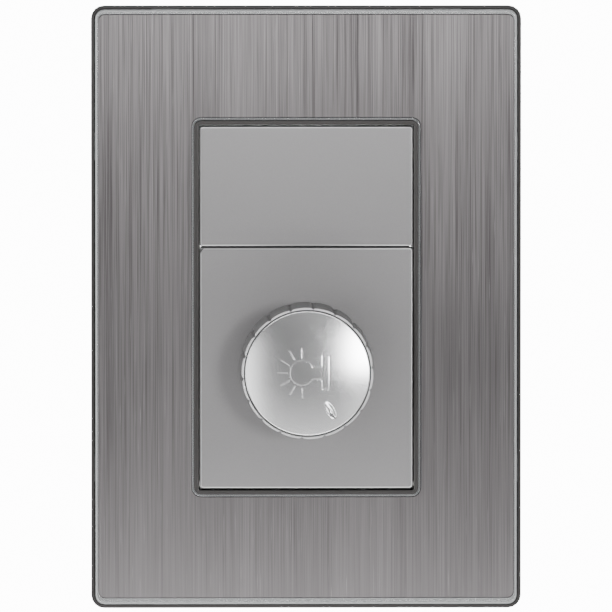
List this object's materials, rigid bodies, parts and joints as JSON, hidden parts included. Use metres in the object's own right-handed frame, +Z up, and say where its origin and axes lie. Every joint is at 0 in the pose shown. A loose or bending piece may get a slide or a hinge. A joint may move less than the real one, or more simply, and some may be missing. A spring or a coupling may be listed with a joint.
{
  "type": "rotary dimmer switch",
  "caption": "Portrait wall plate with a clear-edged brushed metal facing, a blank insert and a fluted rotary dimmer knob, with the dimmer's case and workings behind it.",
  "frame": {"origin": "middle of the plate, on the plane of the wall", "axes": "+Z up along the plate's long side, +X to the right of someone facing it, +Y into the wall"},
  "size_m": [0.0856, 0.0626, 0.12],
  "materials": {
    "charcoal_plastic": "fine matt charcoal moulding",
    "clear_acrylic": "clear polished acrylic with a rounded edge",
    "brushed_sheet_metal": "dark silver, brushed up and down",
    "silver_paint": "fine metallic silver paint on moulded plastic",
    "satin_cap": "satin silver",
    "plated_steel": "zinc plated",
    "cast_zinc": "die-cast zinc",
    "aluminium": "mill finish",
    "brass": "plain brass and bronze",
    "light_nylon": "light grey moulding",
    "black_plastic": "black moulding with a fine spark texture",
    "board_laminate": "green lacquered laminate",
    "phenolic": "brown phenolic board",
    "ferrite": "powder-coated ferrite",
    "enamelled_copper": "enamelled copper wire",
    "yellow_case": "yellow box case",
    "resistor_coat": "beige resistor coating",
    "thermal_pad": "grey silicone pad",
    "fuse_glass": "glass with plated ends"
  },
  "bodies": {
    "wall_assembly": {"base_frame": "charcoal_plastic", "yoke": "plated_steel", "fixing_screw_1": "plated_steel", "fixing_screw_2": "plated_steel", "blank_module": "silver_paint", "dimmer_face": "silver_paint", "module_frame": "light_nylon", "rear_housing": "black_plastic", "case_screw_1": "plated_steel", "case_screw_2": "plated_steel", "circuit_board": "board_laminate", "heat_sink_plate": "aluminium", "thermal_pad": "thermal_pad", "triac": "black_plastic", "triac_screw": "plated_steel", "choke_core": "ferrite", "choke_winding": "enamelled_copper", "film_capacitor": "yellow_case", "timing_capacitor": "yellow_case", "resistor_1": "resistor_coat", "resistor_2": "resistor_coat", "diac": "fuse_glass", "fuse": "fuse_glass", "fuse_clip_1": "brass", "fuse_clip_2": "brass", "pot_bushing": "cast_zinc", "pot_washer": "plated_steel", "pot_nut": "brass", "pot_track": "phenolic", "pot_cover": "plated_steel", "pot_pin_1": "brass", "pot_pin_2": "brass", "pot_pin_3": "brass", "switch_housing": "black_plastic", "contact_spring": "brass", "terminal_block": "light_nylon", "terminal_bar_1": "brass", "terminal_bar_2": "brass", "terminal_bar_3": "brass"},
    "dial": {"knob": "silver_paint", "knob_cap": "satin_cap", "knob_clip": "plated_steel", "pot_shaft": "aluminium", "pot_wiper": "brass", "switch_cam": "light_nylon"},
    "cover": {"cover_plate": "clear_acrylic", "brushed_sheet": "brushed_sheet_metal"},
    "clamp_screw_1": {"terminal_screw_1": "plated_steel"},
    "clamp_screw_2": {"terminal_screw_2": "plated_steel"},
    "clamp_screw_3": {"terminal_screw_3": "plated_steel"},
    "clamp_cage_1": {"terminal_cage_1": "plated_steel"},
    "clamp_cage_2": {"terminal_cage_2": "plated_steel"},
    "clamp_cage_3": {"terminal_cage_3": "plated_steel"}
  },
  "joints": [
    {"name": "dial_turn", "type": "hinge", "parent": "wall_assembly", "child": "dial", "pos_m": [0, -0.0094, -0.01205], "axis": [0, -1, 0], "range_deg": [0, 300]},
    {"name": "cover_pull", "type": "slide", "parent": "wall_assembly", "child": "cover", "axis": [0, -1, 0], "range_m": [0, 0.02]},
    {"name": "screw_turn_1", "type": "hinge", "parent": "wall_assembly", "child": "clamp_screw_1", "pos_m": [-0.0086, 0.0255, -0.03305], "axis": [0, 0, 1], "range_deg": [0, 1080]},
    {"name": "screw_turn_2", "type": "hinge", "parent": "wall_assembly", "child": "clamp_screw_2", "pos_m": [0, 0.0255, -0.03305], "axis": [0, 0, 1], "range_deg": [0, 1080]},
    {"name": "screw_turn_3", "type": "hinge", "parent": "wall_assembly", "child": "clamp_screw_3", "pos_m": [0.0086, 0.0255, -0.03305], "axis": [0, 0, 1], "range_deg": [0, 1080]},
    {"name": "cage_lift_1", "type": "slide", "parent": "wall_assembly", "child": "clamp_cage_1", "axis": [0, 0, -1], "range_m": [0, 0.0015]},
    {"name": "cage_lift_2", "type": "slide", "parent": "wall_assembly", "child": "clamp_cage_2", "axis": [0, 0, -1], "range_m": [0, 0.0015]},
    {"name": "cage_lift_3", "type": "slide", "parent": "wall_assembly", "child": "clamp_cage_3", "axis": [0, 0, -1], "range_m": [0, 0.0015]}
  ],
  "couplings": [
    {"joint": "screw_turn_1", "follows": "cage_lift_1", "rad_per_m": 12560},
    {"joint": "screw_turn_2", "follows": "cage_lift_2", "rad_per_m": 12560},
    {"joint": "screw_turn_3", "follows": "cage_lift_3", "rad_per_m": 12560}
  ]
}
